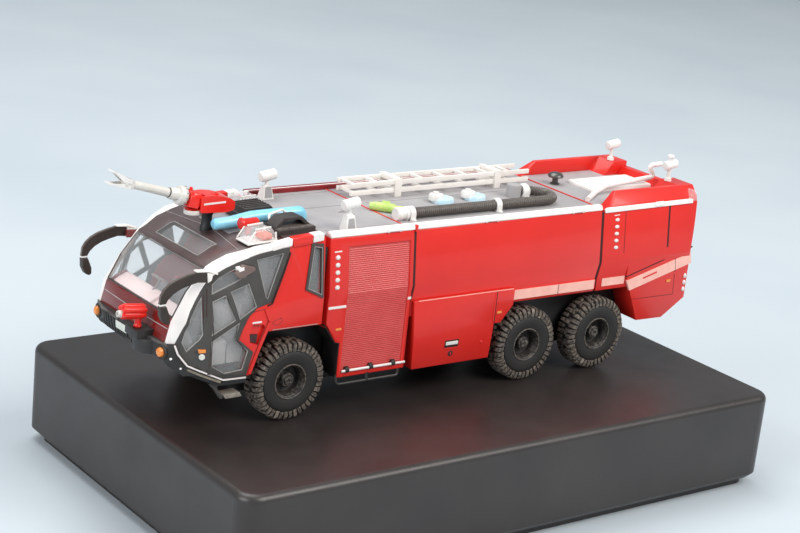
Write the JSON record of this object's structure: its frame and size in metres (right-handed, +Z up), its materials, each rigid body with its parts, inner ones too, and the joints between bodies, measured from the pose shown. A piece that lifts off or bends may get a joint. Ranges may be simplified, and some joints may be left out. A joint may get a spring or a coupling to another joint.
{
  "type": "model airport fire truck",
  "caption": "Small display model of an airport crash tender with a glazed cab, roof and bumper turrets, roof ladder and rolling wheels, standing on a dark rectangular plinth.",
  "frame": {"origin": "the plinth's underside, below the truck's centre line and midway along the plinth", "axes": "+X towards the truck's rear, +Y towards the truck's right side, +Z up"},
  "size_m": [0.1702, 0.1038, 0.0847],
  "materials": {
    "plinth_dark": "satin",
    "body_red": "gloss",
    "black_plastic": "satin",
    "black_gloss": "gloss",
    "silver": "satin",
    "clear": "clear",
    "dark_grey": "satin",
    "salmon": "satin",
    "white": "satin",
    "green": "satin",
    "orange": "gloss",
    "interior": "matt",
    "deck_grey": "matt",
    "blue": "gloss",
    "beacon": "clear",
    "tyre": "matt",
    "rim": "satin"
  },
  "bodies": {
    "truck": {"plinth": "plinth_dark", "plinth_foot": "plinth_dark", "chassis": "black_plastic", "windscreen": "clear", "cab_roof": "black_gloss", "roof_glass": "clear", "pillar_arc_l": "silver", "pillar_arc_r": "silver", "door_frame_l": "dark_grey", "door_frame_r": "dark_grey", "door_glass_l": "clear", "door_glass_r": "clear", "cab_body": "body_red", "bumper": "black_plastic", "cab_interior": "interior", "module_front": "body_red", "shutter_l": "body_red", "shutter_r": "body_red", "module_tank": "body_red", "locker_l": "body_red", "locker_r": "body_red", "module_rear": "body_red", "deck": "deck_grey", "rail_l": "silver", "rail_r": "silver", "rear_hatch": "silver", "roof_wall_l": "body_red", "roof_wall_r": "body_red", "rear_pipe": "silver", "ladder": "silver", "suction_hose": "black_plastic", "blue_tube": "blue", "beacon_l": "beacon", "beacon_r": "clear", "vent_box_l": "deck_grey", "vent_box_r": "black_plastic", "lamp_front_l": "silver", "lamp_front_r": "silver", "lamp_rear_l": "silver", "lamp_rear_r": "silver", "turret_base": "black_gloss", "mirror_l": "black_plastic", "mirror_r": "black_plastic"},
    "wheel_1l": {"tyre_1l": "tyre", "rim_1l": "rim"},
    "wheel_1r": {"tyre_1r": "tyre", "rim_1r": "rim"},
    "wheel_2l": {"tyre_2l": "tyre", "rim_2l": "rim"},
    "wheel_2r": {"tyre_2r": "tyre", "rim_2r": "rim"},
    "wheel_3l": {"tyre_3l": "tyre", "rim_3l": "rim"},
    "wheel_3r": {"tyre_3r": "tyre", "rim_3r": "rim"},
    "turret_head": {"turret_body": "body_red"},
    "turret_gun": {"turret_barrel": "silver"},
    "bumper_gun": {"bumper_turret": "body_red"}
  },
  "joints": [
    {"name": "roll_1l", "type": "hinge", "parent": "truck", "child": "wheel_1l", "pos_m": [-0.0493, 0, 0.03518], "axis": [0, 1, 0], "continuous": true},
    {"name": "roll_1r", "type": "hinge", "parent": "truck", "child": "wheel_1r", "pos_m": [-0.0493, 0, 0.03518], "axis": [0, 1, 0], "continuous": true},
    {"name": "roll_2l", "type": "hinge", "parent": "truck", "child": "wheel_2l", "pos_m": [0.0229, 0, 0.03518], "axis": [0, 1, 0], "continuous": true},
    {"name": "roll_2r", "type": "hinge", "parent": "truck", "child": "wheel_2r", "pos_m": [0.0229, 0, 0.03518], "axis": [0, 1, 0], "continuous": true},
    {"name": "roll_3l", "type": "hinge", "parent": "truck", "child": "wheel_3l", "pos_m": [0.0473, 0, 0.03518], "axis": [0, 1, 0], "continuous": true},
    {"name": "roll_3r", "type": "hinge", "parent": "truck", "child": "wheel_3r", "pos_m": [0.0473, 0, 0.03518], "axis": [0, 1, 0], "continuous": true},
    {"name": "turret_slew", "type": "hinge", "parent": "truck", "child": "turret_head", "pos_m": [-0.0624, 0, 0.0723], "axis": [0, 0, 1], "range_deg": [-90, 90]},
    {"name": "turret_tilt", "type": "hinge", "parent": "turret_head", "child": "turret_gun", "pos_m": [-0.0664, 0, 0.075], "axis": [0, 1, 0], "range_deg": [-20, 40]},
    {"name": "bumper_slew", "type": "hinge", "parent": "truck", "child": "bumper_gun", "pos_m": [-0.0832, -0.007, 0.0482], "axis": [0, 0, 1], "range_deg": [-60, 60]}
  ]
}
